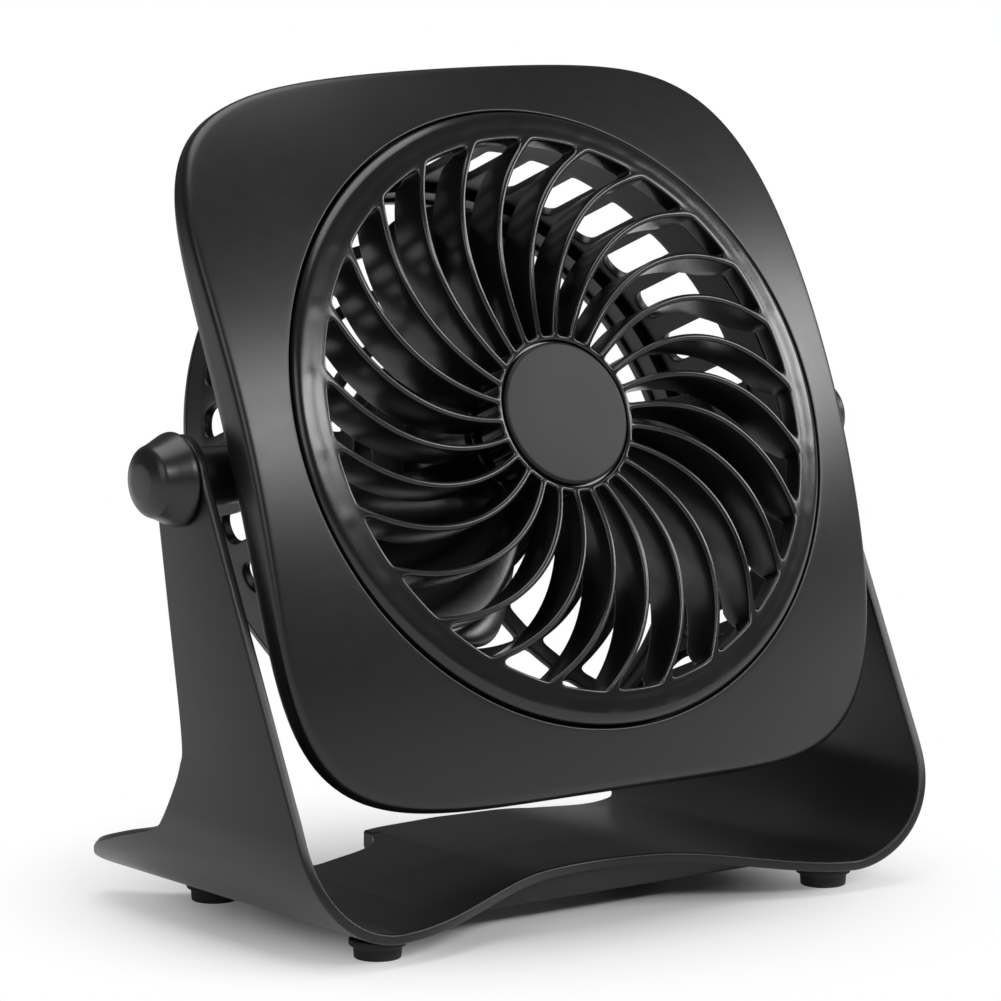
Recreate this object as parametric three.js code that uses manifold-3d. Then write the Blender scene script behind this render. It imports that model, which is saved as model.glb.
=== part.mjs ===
// Desk fan. A square head with a round swirl grille tilts between the two arms of a stand
// that is one bent plastic sheet. Millimetres, +Z up, the fan blows towards -Y and the floor is z = 0.
import * as THREE from "three";
import { mergeVertices } from "three/addons/utils/BufferGeometryUtils.js";
import Module from "manifold-3d";

const wasm = await Module();
wasm.setup();

// ---------------------------------------------------------------- driving dimensions
const FIT = 0.3; // clearance between two touching pieces
const TILT = THREE.MathUtils.degToRad(21.645); // the head leans back this far at rest

// stand
const ARM_OUTER_X = 72.6;
const SHEET = 2;
const BEND_RADIUS = 20; // outside radius of the bend from arm to base
const FOOT_HEIGHT = 4;
const ARCH_RISE = 4.5; // the base arches up this much at its middle
const PIVOT_Y = -1;
const PIVOT_Z = 84.7;
const ARM_END_RADIUS = 8;
const RIB_Y = -27.5;

// head, in its own frame: y runs back along the fan axis from the apex of the domed face
const PIVOT_BACK = 29.8;
const PIVOT_DROP = 0.5;
const HALF_WIDTH = 68.24;
const HALF_HEIGHT = 69.4;
const SQUARENESS = 5.1; // exponent of the rounded square's outline
const BEZEL_WALL = 1.6;
const BEZEL_OPENING = 59.2;
const GRILLE_RADIUS = 58.7;
const AIR_RADIUS = 52.7; // outer end of the openings between the vanes
const GRILLE_HUB_RADIUS = 15.1;
const VANES = 26;
const VANE_THICKNESS = 1.3;
const VANE_BACK = 15;
const BLADES = 3;
const BLADE_TIP = 46.5;
const ROTOR_HUB_RADIUS = 15.5;
const CAGE_RADIUS = 58;
const CAGE_BACK = 51;
const CAGE_WALL = 2;
const CAGE_CORNER = 3.5;
const CAGE_FRONT = 15.2;
const CAGE_SEAM = 47.2; // the slotted wall ends here and the rear guard begins behind it
const CAGE_RIBS = 36;
const CAGE_RIB_PHASE = 6.5; // degrees clockwise from the top, seen from the front
const MOTOR_FRONT = 29.9;
const CUP_RADIUS = 12.4; // bore of the motor cup
const CUP_LIP = 8.6; // bore of the lip that the motor's front rests on
const CUP_FLOOR = 28.2; // front of the motor cup
const POD_RADIUS = 19; // bore of the round recess behind the motor
const POD_FLOOR = 44.6;
const SCREW_CORNER = 50; // the four cover screws stand at +-50, +-50
const BOSS_RADIUS = 5.4;
const BOSS_END_X = 69.3;
const MOTOR_SCREW_X = 10.2;
const CAP_SCREW_X = 14;

// ---------------------------------------------------------------- solids
// The geometry as a manifold solid with shared corners and its faces pointing out.
function solid(geometry) {
  const bare = new THREE.BufferGeometry();
  bare.setAttribute("position", geometry.getAttribute("position"));
  if (geometry.index) bare.setIndex(geometry.index);
  const merged = mergeVertices(bare, 1e-4);
  const corners = merged.index.array;
  const triangles = [];
  for (let i = 0; i < corners.length; i += 3) {
    const [a, b, c] = corners.slice(i, i + 3);
    if (a !== b && b !== c && c !== a) triangles.push(a, b, c);
  }
  const build = (order) =>
    new wasm.Manifold(
      new wasm.Mesh({
        numProp: 3,
        vertProperties: merged.attributes.position.array,
        triVerts: new Uint32Array(order),
      }),
    );
  const made = build(triangles);
  return made.volume() > 0 ? made : build(triangles.reverse());
}

// The solid back as a three.js geometry.
function skin(manifold) {
  const mesh = manifold.getMesh();
  const geometry = new THREE.BufferGeometry();
  geometry.setAttribute("position", new THREE.BufferAttribute(mesh.vertProperties, 3));
  geometry.setIndex(new THREE.BufferAttribute(mesh.triVerts, 1));
  return geometry;
}

const join = (pieces) => pieces.reduce((whole, piece) => whole.add(piece));

// Closed skin over a row of rings of points. The row closes on itself, or has a flat end each side.
function loft(rings, closes = false) {
  const count = rings[0].length;
  const triangles = [];
  const last = closes ? rings.length : rings.length - 1;
  for (let j = 0; j < last; j += 1) {
    const next = (j + 1) % rings.length;
    for (let i = 0; i < count; i += 1) {
      const side = (i + 1) % count;
      const [a, b] = [j * count + i, j * count + side];
      const [c, d] = [next * count + side, next * count + i];
      triangles.push(a, b, c, a, c, d);
    }
  }
  if (!closes) {
    const end = (rings.length - 1) * count;
    for (let i = 1; i < count - 1; i += 1) {
      triangles.push(0, i + 1, i, end, end + i, end + i + 1);
    }
  }
  const geometry = new THREE.BufferGeometry();
  geometry.setAttribute("position", new THREE.Float32BufferAttribute(rings.flat(2), 3));
  geometry.setIndex(triangles);
  return solid(geometry);
}

// Solid of revolution about the Y axis from [radius, y] pairs.
function turned(profile, segments) {
  const points = profile.map(([radius, y]) => new THREE.Vector2(radius, y));
  return solid(new THREE.LatheGeometry(points, segments));
}

// Ring or tube about Y.
function tube(outer, inner, from, to, segments) {
  const profile = [[inner, from], [outer, from], [outer, to], [inner, to], [inner, from]];
  return turned(profile, segments);
}

// Rod about Y from y = from to y = to.
function rod(radius, from, to, segments) {
  return turned([[0, from], [radius, from], [radius, to], [0, to]], segments);
}

// A turned solid about Y, laid along another axis and moved into place.
function placed(manifold, move, turn = [0, 0, 0]) {
  const geometry = skin(manifold);
  geometry.applyMatrix4(
    new THREE.Matrix4().makeRotationFromEuler(new THREE.Euler(...turn)).setPosition(...move),
  );
  return solid(geometry);
}

function block(width, depth, height, centre) {
  return solid(new THREE.BoxGeometry(width, depth, height).translate(...centre));
}

// ---------------------------------------------------------------- materials
const finish = (colour, roughness, metalness = 0) => ({ color: colour, roughness, metalness });
const SATIN_BLACK = finish(0x1b1b1d, 0.42);
const GLOSS_BLACK = finish(0x111113, 0.22);
const RUBBER = finish(0x161616, 0.85);
const STEEL = finish(0xa9abad, 0.35, 1);
const BRASS = finish(0xb08d4a, 0.35, 1);
const NYLON = finish(0x1a1a1a, 0.5);
const MAGNET = finish(0x3a3a3c, 0.6);
const BOARD = finish(0x1f5a35, 0.5);

const fan = new THREE.Group();
const head = new THREE.Group(); // turns about the pivot
const shell = new THREE.Group(); // the head's own frame, its origin at the apex of the face
fan.add(head);
head.add(shell);
head.position.set(0, PIVOT_Y, PIVOT_Z);
head.rotation.x = -TILT;
shell.position.set(0, -PIVOT_BACK, PIVOT_DROP);

function add(group, name, manifold, look) {
  const mesh = new THREE.Mesh(skin(manifold), new THREE.MeshStandardMaterial(look));
  mesh.name = name;
  group.add(mesh);
  return mesh;
}

// ---------------------------------------------------------------- stand bracket
// The sheet is constant along Y, so each station across it has one front and one rear edge.
const FRONT_LINE_Z = 30; // the arm's front edge is straight above this height
const FRONT_SLOPE = 0.49;
const FRONT_Y = -43.1; // front edge at the foot of the arm
const FRONT_CURVE = 0.0102;
const FRONT_HOLLOW = 13; // the base's front edge is hollowed by this much at the middle
const ARCH_FLAT = 12; // half width of the arch's level crown
const BEND_X = ARM_OUTER_X - BEND_RADIUS;
const ARCH_END = BEND_X + 2;

function archUnderside(x) {
  const fall = THREE.MathUtils.smoothstep(Math.abs(x), ARCH_FLAT, ARCH_END);
  return FOOT_HEIGHT + ARCH_RISE * (1 - fall);
}

function armFront(z) {
  const curved = Math.min(z, FRONT_LINE_Z) - FOOT_HEIGHT;
  return FRONT_Y + FRONT_CURVE * curved ** 2 + FRONT_SLOPE * Math.max(z - FRONT_LINE_Z, 0);
}

// Rear edge by the distance run down the outside of the sheet from the top of the bend:
// up the arm (negative), round the flared rear foot, and along the back of the arch.
const REAR_OUTLINE = new THREE.SplineCurve(
  [
    [-60.7, 7], [-38, 2.9], [-14, -1.3], [-8, -0.7], [-2, 2.3], [2.8, 5.7], [5.4, 9.6], [9.2, 22.4],
    [13.6, 34.5], [16.8, 39.2], [20.6, 42.8], [24.4, 41.4], [29.4, 35.4], [35.3, 31.2], [48.5, 24.1],
    [60.5, 19.3], [67, 19], [85, 20.4],
  ].map(([run, y]) => new THREE.Vector2(run, y)),
);
const REAR_SAMPLES = REAR_OUTLINE.getPoints(240);

function rearEdge(run) {
  const after = Math.max(1, REAR_SAMPLES.findIndex((point) => point.x >= run));
  const [low, high] = [REAR_SAMPLES[after - 1], REAR_SAMPLES[after]];
  return THREE.MathUtils.mapLinear(run, low.x, high.x, low.y, high.y);
}

// Stations of the left half, from the arm's rounded end down to the middle of the base:
// outside point, inside point (both X and Z), front edge, rear edge.
function bracketStations() {
  const stations = [];
  for (const degrees of [82, 62, 42, 20]) {
    const turn = THREE.MathUtils.degToRad(degrees);
    const z = PIVOT_Z + ARM_END_RADIUS * Math.sin(turn);
    const half = ARM_END_RADIUS * Math.cos(turn);
    stations.push([-ARM_OUTER_X, z, SHEET - ARM_OUTER_X, z, PIVOT_Y - half, PIVOT_Y + half]);
  }
  const bendTop = FOOT_HEIGHT + BEND_RADIUS;
  for (const z of [84, 74, 62, 50, 42, 37, 33, 30, 27]) {
    stations.push([-ARM_OUTER_X, z, SHEET - ARM_OUTER_X, z, armFront(z), rearEdge(bendTop - z)]);
  }
  const bendSteps = 12;
  for (let i = 0; i <= bendSteps; i += 1) {
    const turn = (i / bendSteps) * (Math.PI / 2);
    const [across, down] = [Math.cos(turn), Math.sin(turn)];
    const inner = BEND_RADIUS - SHEET;
    const z = bendTop - BEND_RADIUS * down;
    const edges = [armFront(z), rearEdge(BEND_RADIUS * turn)];
    const outside = [-BEND_X - BEND_RADIUS * across, z];
    stations.push([...outside, -BEND_X - inner * across, bendTop - inner * down, ...edges]);
  }
  const archSteps = 14;
  const bendRun = (BEND_RADIUS * Math.PI) / 2;
  for (let i = 1; i <= archSteps; i += 1) {
    const x = BEND_X * (i / archSteps - 1);
    const z = archUnderside(x);
    const front = FRONT_Y + FRONT_HOLLOW * (0.5 + 0.5 * Math.cos((Math.PI * x) / BEND_X));
    stations.push([x, z, x, z + SHEET, front, rearEdge(bendRun + BEND_X + x)]);
  }
  return stations;
}

function standBracket() {
  const left = bracketStations();
  const right = left.slice(0, -1).reverse();
  const mirror = right.map(([x, z, xIn, zIn, front, rear]) => [-x, z, -xIn, zIn, front, rear]);
  const sheet = loft(
    [...left, ...mirror].map(([x, z, xIn, zIn, front, rear]) => [
      [x, front, z],
      [x, rear, z],
      [xIn, rear, zIn],
      [xIn, front, zIn],
    ]),
  );
  // straight stiffening rib under the arch, its top edge buried in the sheet
  const ribX = Array.from({ length: 17 }, (_, i) => -48 + 6 * i);
  const rib = loft(
    ribX.map((x) => {
      const top = archUnderside(x) + SHEET / 2;
      return [
        [x, RIB_Y - 1, FOOT_HEIGHT],
        [x, RIB_Y + 1, FOOT_HEIGHT],
        [x, RIB_Y + 1, top],
        [x, RIB_Y - 1, top],
      ];
    }),
  );
  const cordLug = block(4.4, 4, 3.6, [-16.2, 16.6, 8.6]);
  const notch = new THREE.Shape();
  notch.moveTo(-15.2, 24);
  notch.quadraticCurveTo(-17, 17, -20.5, 12);
  notch.quadraticCurveTo(-23, 8.2, -28, 8);
  notch.lineTo(-35, 8);
  notch.quadraticCurveTo(-40, 8.4, -41, 15);
  notch.lineTo(-42, 40);
  notch.lineTo(-15.2, 40);
  const notchCutter = solid(
    new THREE.ExtrudeGeometry(notch, { depth: 30, bevelEnabled: false, curveSegments: 5 }),
  );
  const bore = (x) =>
    placed(rod(2.4, -4, 4, 20), [x, PIVOT_Y, PIVOT_Z], [0, 0, Math.PI / 2]);
  const footHole = ([x, y]) => placed(rod(2.5, 0, 2.1, 16), [x, y, 3], [Math.PI / 2, 0, 0]);
  return sheet
    .subtract(notchCutter)
    .add(rib)
    .add(cordLug)
    .subtract(bore(-ARM_OUTER_X))
    .subtract(bore(ARM_OUTER_X))
    .subtract(join(Object.values(FEET).map(footHole)));
}

const FEET = {
  foot_front_left: [-52, -34],
  foot_front_right: [52, -34],
  foot_rear_left: [-49, 23.5],
  foot_rear_right: [49, 23.5],
};
add(fan, "stand_bracket", standBracket(), SATIN_BLACK);

// Rubber foot: a stepped button with a stud that plugs into the sheet from below.
const FOOT_PROFILE = [
  [0, 0], [4.1, 0], [4.45, 0.4], [4.45, 2], [5.25, 2.4], [5.25, 3.6], [2.2, 3.6], [2.2, 4.8], [0, 4.8],
];
for (const [name, [x, y]] of Object.entries(FEET)) {
  const foot = placed(turned(FOOT_PROFILE, 18), [x, y, 0], [Math.PI / 2, 0, 0]);
  add(fan, name, foot, RUBBER);
}

// ---------------------------------------------------------------- tilt hardware, one set each side
// Knob profile along its axis: broad base against the arm, cone, small domed cap.
const KNOB_BASE_X = ARM_OUTER_X + FIT;
const KNOB_PROFILE = [
  [0, 5.4], [2.3, 5.4], [2.3, 0], [8.4, 0], [8.7, 0.5], [6.6, 5.2], [6.3, 5.9], [5.2, 6.9], [3.2, 7.5],
  [0, 7.7],
];
for (const [side, sign] of [["left", -1], ["right", 1]]) {
  const outward = [0, 0, (-sign * Math.PI) / 2];
  const lay = (manifold, x) =>
    placed(manifold, [sign * x, PIVOT_BACK, -PIVOT_DROP], outward);
  add(shell, `tilt_knob_${side}`, lay(turned(KNOB_PROFILE, 28), KNOB_BASE_X), SATIN_BLACK);
  add(shell, `pivot_bolt_${side}`, lay(rod(2, 0, 16, 16), 62), STEEL);
  const washerX = BOSS_END_X + FIT;
  add(shell, `friction_washer_${side}`, lay(tube(6.4, 2.4, 0, 0.7, 24), washerX), NYLON);
  add(shell, `pivot_insert_${side}`, lay(tube(3.5, 2.3, 0, 6.4, 16), 62.6), BRASS);
}

// ---------------------------------------------------------------- head shells
const DOME_ACROSS = 0.0025;
const DOME_UP = 0.0028;
const faceDepth = (x, z) => DOME_ACROSS * x * x + DOME_UP * z * z;
const rimDepth = (x, z) => 11.4 + 0.00153 * (x * x + z * z);

// Point on the rounded square's outline, drawn in by inset, in the direction of an angle.
function outline(turn, inset) {
  const [a, b] = [HALF_WIDTH - inset, HALF_HEIGHT - inset];
  const [c, s] = [Math.cos(turn), Math.sin(turn)];
  const reach = (Math.abs(c / a) ** SQUARENESS + Math.abs(s / b) ** SQUARENESS) ** (-1 / SQUARENESS);
  return [reach * c, reach * s];
}

const AROUND = 64;
const turnsAround = Array.from({ length: AROUND }, (_, i) => (i / AROUND) * 2 * Math.PI);
const onCircle = (turn, radius) => [radius * Math.cos(turn), radius * Math.sin(turn)];
const between = ([x0, z0], [x1, z1], share) => [x0 + (x1 - x0) * share, z0 + (z1 - z0) * share];

// Domed square front with a rim round it, a collar round its opening and four screw posts.
function bezel() {
  const collarBack = 13;
  const at = ([x, z], y) => [x, y, z];
  const face = (p, deeper = 0) => at(p, faceDepth(...p) + deeper);
  const plate = loft(
    turnsAround.map((turn) => {
      const hole = onCircle(turn, BEZEL_OPENING);
      const collar = onCircle(turn, BEZEL_OPENING + 1.4);
      const shoulder = outline(turn, 1.1);
      const edge = outline(turn, 0);
      const inside = outline(turn, BEZEL_WALL);
      return [
        face(hole),
        face(between(hole, shoulder, 0.5)),
        face(shoulder),
        face(edge, 1),
        at(edge, rimDepth(...edge)),
        at(inside, rimDepth(...edge)),
        face(inside, BEZEL_WALL),
        face(collar, BEZEL_WALL),
        at(collar, collarBack),
        at(hole, collarBack),
      ];
    }),
    true,
  );
  const post = ([x, z]) => placed(rod(3.2, 14.5, 16.6, 12), [x, 0, z]);
  const pilot = ([x, z]) => placed(rod(1.5, 14.4, 20, 10), [x, 0, z]);
  return plate.add(join(CORNERS.map(post))).subtract(join(CORNERS.map(pilot)));
}

const CORNERS = [-1, 1].flatMap((x) => [-1, 1].map((z) => [x * SCREW_CORNER, z * SCREW_CORNER]));
add(shell, "front_bezel", bezel(), SATIN_BLACK);

// ---------------------------------------------------------------- front grille
// Angle of a vane, clockwise from its root, and depth of its front edge, both by radius.
const VANE_ROOT = THREE.MathUtils.degToRad(6.44);
const VANE_SWEEP = THREE.MathUtils.degToRad(0.0628);
const vaneTurn = (radius) => VANE_ROOT + VANE_SWEEP * Math.max(radius - 16, 0) ** 1.68;
const vaneFront = (radius) => 5.1 + 0.0058 * (radius - 36) ** 2;

function vane(index) {
  const stations = 7;
  const rings = [];
  for (let i = 0; i < stations; i += 1) {
    const radius = THREE.MathUtils.lerp(GRILLE_HUB_RADIUS - 0.5, AIR_RADIUS + 1, i / (stations - 1));
    const turn = vaneTurn(radius) + (index * 2 * Math.PI) / VANES;
    const ahead = vaneTurn(radius + 0.5) - vaneTurn(radius - 0.5);
    const lean = Math.atan(radius * ahead); // between the vane's run and the radius
    const heading = turn + lean;
    const [x, z] = [radius * Math.sin(turn), radius * Math.cos(turn)];
    const [dx, dz] = [Math.cos(heading), -Math.sin(heading)].map((v) => (v * VANE_THICKNESS) / 2);
    const front = Math.min(vaneFront(radius), 7.9);
    rings.push([
      [x - dx, front, z - dz],
      [x + dx, front, z + dz],
      [x + dx, VANE_BACK, z + dz],
      [x - dx, VANE_BACK, z - dz],
    ]);
  }
  return loft(rings);
}

function frontGrille() {
  const ringProfile = [
    [AIR_RADIUS, 6.8], [56.4, 7.5], [GRILLE_RADIUS, 9], [GRILLE_RADIUS, 13.6],
    [57.2, 13.6], [57.2, 11], [AIR_RADIUS, 11], [AIR_RADIUS, 6.8],
  ];
  const hubProfile = [
    [0, 8.9], [14, 8.9], [14, 7.7], [GRILLE_HUB_RADIUS, 7.7], [GRILLE_HUB_RADIUS, VANE_BACK],
    [13.5, VANE_BACK], [13.5, 10.9], [0, 10.9],
  ];
  const vanes = Array.from({ length: VANES }, (_, i) => vane(i));
  return join([turned(ringProfile, 2 * VANES), turned(hubProfile, 40), ...vanes]);
}
add(shell, "front_grille", frontGrille(), GLOSS_BLACK);
add(shell, "hub_badge", rod(13.6, 7.4, 8.6, 48), SATIN_BLACK);

// ---------------------------------------------------------------- rear cover
// The cover is a rounded-square flange with a round slotted wall behind it and a boss each side
// that the head turns on. The guard clips into the wall's end: a slotted disc with the motor cup
// in its middle and a recess behind it for the control board.
const RIB_TURN = THREE.MathUtils.degToRad(CAGE_RIB_PHASE);

// Point across and along a direction, that direction being turned clockwise from the top.
const polar = (radius, turn, y) => [radius * Math.sin(turn), y, radius * Math.cos(turn)];

const SIDE_SLOT_HALF = 2.85;
const SIDE_SLOT_FRONT = 24;
const SIDE_SLOT_BACK = 41.3;

// Slot cutter for the round wall, between two ribs: square in front, round at the back.
function sideSlot(index) {
  const turn = RIB_TURN + ((index + 0.5) * 2 * Math.PI) / CAGE_RIBS;
  const roundEnd = Array.from({ length: 6 }, (_, i) => {
    const bend = (i / 5) * Math.PI;
    const along = SIDE_SLOT_BACK - SIDE_SLOT_HALF + SIDE_SLOT_HALF * Math.sin(bend);
    return [SIDE_SLOT_HALF * Math.cos(bend), along];
  });
  const shape = [[-SIDE_SLOT_HALF, SIDE_SLOT_FRONT], [SIDE_SLOT_HALF, SIDE_SLOT_FRONT], ...roundEnd];
  const [alongX, alongZ] = [Math.sin(turn), Math.cos(turn)];
  const ring = (reach) =>
    shape.map(([across, y]) => [reach * alongX + across * alongZ, y, reach * alongZ - across * alongX]);
  return loft([ring(CAGE_RADIUS - 2 * CAGE_WALL), ring(CAGE_RADIUS + CAGE_WALL)]);
}

const GUARD_RIBS = 6;
const GUARD_RIB_HALF = 1.6;
const GUARD_RIB_TURN = THREE.MathUtils.degToRad(162); // of one rib, at the radius below
const GUARD_RIB_AT = 36;
const GUARD_SWEEP = THREE.MathUtils.degToRad(0.67); // the ribs swing back by this for each millimetre
const GUARD_ROWS = [[22.8, 25.8], [28.2, 34.8], [37.2, 43.8], [46.2, 53.6]];

// Slot cutter for the guard: between two swept ribs and two of its rings.
function guardSlot(index, from, to) {
  const arcSteps = 6;
  const ribTurn = (radius) => GUARD_RIB_TURN - GUARD_SWEEP * (radius - GUARD_RIB_AT);
  const arc = (radius) => {
    const aside = Math.asin(GUARD_RIB_HALF / radius);
    const start = ribTurn(radius) + (index * 2 * Math.PI) / GUARD_RIBS + aside;
    const span = (2 * Math.PI) / GUARD_RIBS - 2 * aside;
    return Array.from({ length: arcSteps + 1 }, (_, i) => [radius, start + (span * i) / arcSteps]);
  };
  const shape = [...arc(from), ...arc(to).reverse()];
  const ring = (y) => shape.map(([radius, turn]) => polar(radius, turn, y));
  return loft([ring(CAGE_BACK - CAGE_WALL - 1), ring(CAGE_BACK + 1)]);
}

function rearGuard() {
  const cupOuter = CUP_RADIUS + 1.3;
  const podOuter = POD_RADIUS + 1.4;
  const podFront = POD_FLOOR - 1.5;
  const inside = CAGE_BACK - CAGE_WALL;
  const spigotOuter = CAGE_RADIUS - CAGE_WALL - FIT;
  const spigotInner = spigotOuter - 1.4;
  const spigotFront = 44.5;
  const cornerSteps = 4;
  const corner = Array.from({ length: cornerSteps + 1 }, (_, i) => {
    const turn = (i / cornerSteps) * (Math.PI / 2);
    return [
      CAGE_RADIUS - CAGE_CORNER * (1 - Math.cos(turn)),
      CAGE_SEAM + FIT + (CAGE_BACK - CAGE_SEAM - FIT) * Math.sin(turn),
    ];
  });
  const profile = [
    ...corner,
    [POD_RADIUS, CAGE_BACK],
    [POD_RADIUS, POD_FLOOR],
    [CUP_RADIUS, POD_FLOOR],
    [CUP_RADIUS, MOTOR_FRONT - FIT],
    [CUP_LIP, MOTOR_FRONT - FIT],
    [CUP_LIP, CUP_FLOOR],
    [cupOuter, CUP_FLOOR],
    [cupOuter, podFront],
    [podOuter, podFront],
    [podOuter, inside],
    [spigotInner, inside],
    [spigotInner, spigotFront],
    [spigotOuter, spigotFront],
    [spigotOuter, CAGE_SEAM + FIT],
    corner[0],
  ];
  const slots = GUARD_ROWS.flatMap(([from, to]) =>
    Array.from({ length: GUARD_RIBS }, (_, i) => guardSlot(i, from, to)),
  );
  const motorScrewHole = (sign) => placed(rod(0.9, 26, 31, 10), [sign * MOTOR_SCREW_X, 0, 0]);
  const capPost = (sign) => placed(rod(2.2, POD_FLOOR - 0.8, 45.2, 12), [sign * CAP_SCREW_X, 0, 0]);
  const capPilot = (sign) => placed(rod(1.2, 43.7, 46, 12), [sign * CAP_SCREW_X, 0, 0]);
  return placed(turned(profile, CAGE_RIBS), [0, 0, 0], [0, RIB_TURN, 0])
    .subtract(join(slots))
    .add(join([capPost(-1), capPost(1)]))
    .subtract(join([motorScrewHole(-1), motorScrewHole(1), capPilot(-1), capPilot(1)]));
}

function rearCover() {
  const flange = loft(
    turnsAround.map((turn) => {
      const inner = onCircle(turn, CAGE_RADIUS - 1);
      const outer = outline(turn, BEZEL_WALL + FIT);
      const back = ([x, z]) => [x, rimDepth(x, z), z];
      const front = ([x, z]) => [x, rimDepth(x, z) - 1.4, z];
      return [front(inner), front(outer), back(outer), back(inner)];
    }),
    true,
  );
  const bossBore = (sign) =>
    placed(rod(3.8, 0, 10, 16), [sign * 61.6, PIVOT_BACK, -PIVOT_DROP], [0, 0, (-sign * Math.PI) / 2]);
  const boss = (sign) =>
    placed(
      rod(BOSS_RADIUS, 0, BOSS_END_X - CAGE_RADIUS + 1.4, 24),
      [sign * (CAGE_RADIUS - 1.4), PIVOT_BACK, -PIVOT_DROP],
      [0, 0, (-sign * Math.PI) / 2],
    );
  const seat = ([x, z]) => placed(rod(4, 17.9, 20.2, 14), [x, 0, z]);
  const clearance = ([x, z]) => placed(rod(1.5, 10, 30, 10), [x, 0, z]);
  const slots = [];
  for (let i = 0; i < CAGE_RIBS; i += 1) {
    const facesBoss = i === 8 || i === 26;
    if (!facesBoss) slots.push(sideSlot(i));
  }
  const wall = tube(CAGE_RADIUS, CAGE_RADIUS - CAGE_WALL, CAGE_FRONT, CAGE_SEAM, CAGE_RIBS);
  return placed(wall, [0, 0, 0], [0, RIB_TURN, 0])
    .subtract(join(slots))
    .add(flange)
    .add(join([boss(-1), boss(1), ...CORNERS.map(seat)]))
    .subtract(join([bossBore(-1), bossBore(1), ...CORNERS.map(clearance)]));
}
add(shell, "rear_cover", rearCover(), SATIN_BLACK);
add(shell, "rear_guard", rearGuard(), SATIN_BLACK);

const screw = (headRadius, headLength, shankRadius, shankLength) =>
  turned(
    [
      [0, 0], [headRadius, 0], [headRadius, headLength * 0.5], [headRadius * 0.7, headLength],
      [0, headLength],
    ],
    16,
  ).add(rod(shankRadius, -shankLength, 0.1, 12));
CORNERS.forEach(([x, z]) => {
  const name = `cover_screw_${z > 0 ? "top" : "bottom"}_${x < 0 ? "left" : "right"}`;
  add(shell, name, placed(screw(2.6, 1.6, 1.2, 5.6), [x, 20.5, z]), STEEL);
});

// ---------------------------------------------------------------- blade wheel
// Each blade is a thin twisted petal. Its edges swing back from the hub and close in a round tip.
const BLADE_CENTRE = THREE.MathUtils.degToRad(-7);
const BLADE_MIDDLE_Y = 27;
const BLADE_THICKNESS = 1.4;

function blade(index) {
  const stations = 7;
  const steps = 4;
  const rings = [];
  for (let i = 0; i < stations; i += 1) {
    const share = i / (stations - 1);
    const outward = Math.sin((share * Math.PI) / 2);
    const radius = THREE.MathUtils.lerp(ROTOR_HUB_RADIUS - 0.8, BLADE_TIP, outward);
    const round = Math.sqrt(Math.max(0, 1 - Math.max(0, (share - 0.25) / 0.75) ** 4));
    const halfTurn = THREE.MathUtils.degToRad(30 - 2 * share) * Math.max(round, 0.16);
    const rise = THREE.MathUtils.lerp(8.2, 6.6, share) * Math.max(round, 0.16);
    const front = [];
    const back = [];
    for (let k = 0; k <= steps; k += 1) {
      const across = (2 * k) / steps - 1;
      const turn = BLADE_CENTRE + (index * 2 * Math.PI) / BLADES + across * halfTurn;
      const y = BLADE_MIDDLE_Y + across * rise;
      const [x, z] = [radius * Math.sin(turn), radius * Math.cos(turn)];
      front.push([x, y - BLADE_THICKNESS / 2, z]);
      back.push([x, y + BLADE_THICKNESS / 2, z]);
    }
    rings.push([...front, ...back.reverse()]);
  }
  return loft(rings);
}

function bladeWheel() {
  const hubBack = 36;
  const boreTop = 27;
  const hub = turned(
    [
      [0, 17.2], [12.5, 17.2], [14.8, 17.9], [ROTOR_HUB_RADIUS, 19.4], [ROTOR_HUB_RADIUS, hubBack],
      [CUP_RADIUS + 1.9, hubBack], [CUP_RADIUS + 1.9, 19], [3, 19], [3, boreTop], [1.3, boreTop],
      [1.3, 19.2], [0, 19.2],
    ],
    36,
  );
  const blades = Array.from({ length: BLADES }, (_, i) => blade(i));
  const hollow = rod(CUP_RADIUS + 1.9, 19, 40, 36);
  return join([hub, join(blades).subtract(hollow)]);
}
add(shell, "blade_wheel", bladeWheel(), GLOSS_BLACK);

// ---------------------------------------------------------------- motor
add(shell, "motor_shaft", rod(1, 19.5, 45.1, 12), STEEL);
const canProfile = [
  [2.9, MOTOR_FRONT], [12, MOTOR_FRONT], [12, 42], [11.2, 42], [11.2, MOTOR_FRONT + 0.9],
  [2.9, MOTOR_FRONT + 0.9], [2.9, MOTOR_FRONT],
];
const canHole = (sign) => placed(rod(0.8, 26, 31.4, 10), [sign * MOTOR_SCREW_X, 0, 0]);
add(shell, "motor_can", turned(canProfile, 24).subtract(join([canHole(-1), canHole(1)])), STEEL);
add(shell, "bush_front", tube(2.6, 1.05, MOTOR_FRONT, 31.6, 14), BRASS);
const capProfile = [
  [2.9, 42.3], [12, 42.3], [12, 43.2], [10.4, 44.6], [2.9, 44.6], [2.9, 42.3],
];
add(shell, "motor_end_cap", turned(capProfile, 28), NYLON);
add(shell, "bush_rear", tube(2.6, 1.05, 42.7, 44.4, 14), BRASS);
add(shell, "armature_core", tube(7.8, 1.3, 33, 39.4, 24), STEEL);
add(shell, "commutator", tube(2.4, 1.3, 39.8, 42, 12), BRASS);

// Two magnet shells inside the can, each a bent bar.
for (const [side, middle] of [["left", Math.PI], ["right", 0]]) {
  const reach = THREE.MathUtils.degToRad(62);
  const rings = Array.from({ length: 8 }, (_, i) => {
    const turn = middle + reach * ((2 * i) / 7 - 1);
    const at = (radius, y) => [radius * Math.cos(turn), y, radius * Math.sin(turn)];
    return [at(8.6, 32.4), at(10.8, 32.4), at(10.8, 41), at(8.6, 41)];
  });
  add(shell, `magnet_${side}`, loft(rings), MAGNET);
}

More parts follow.
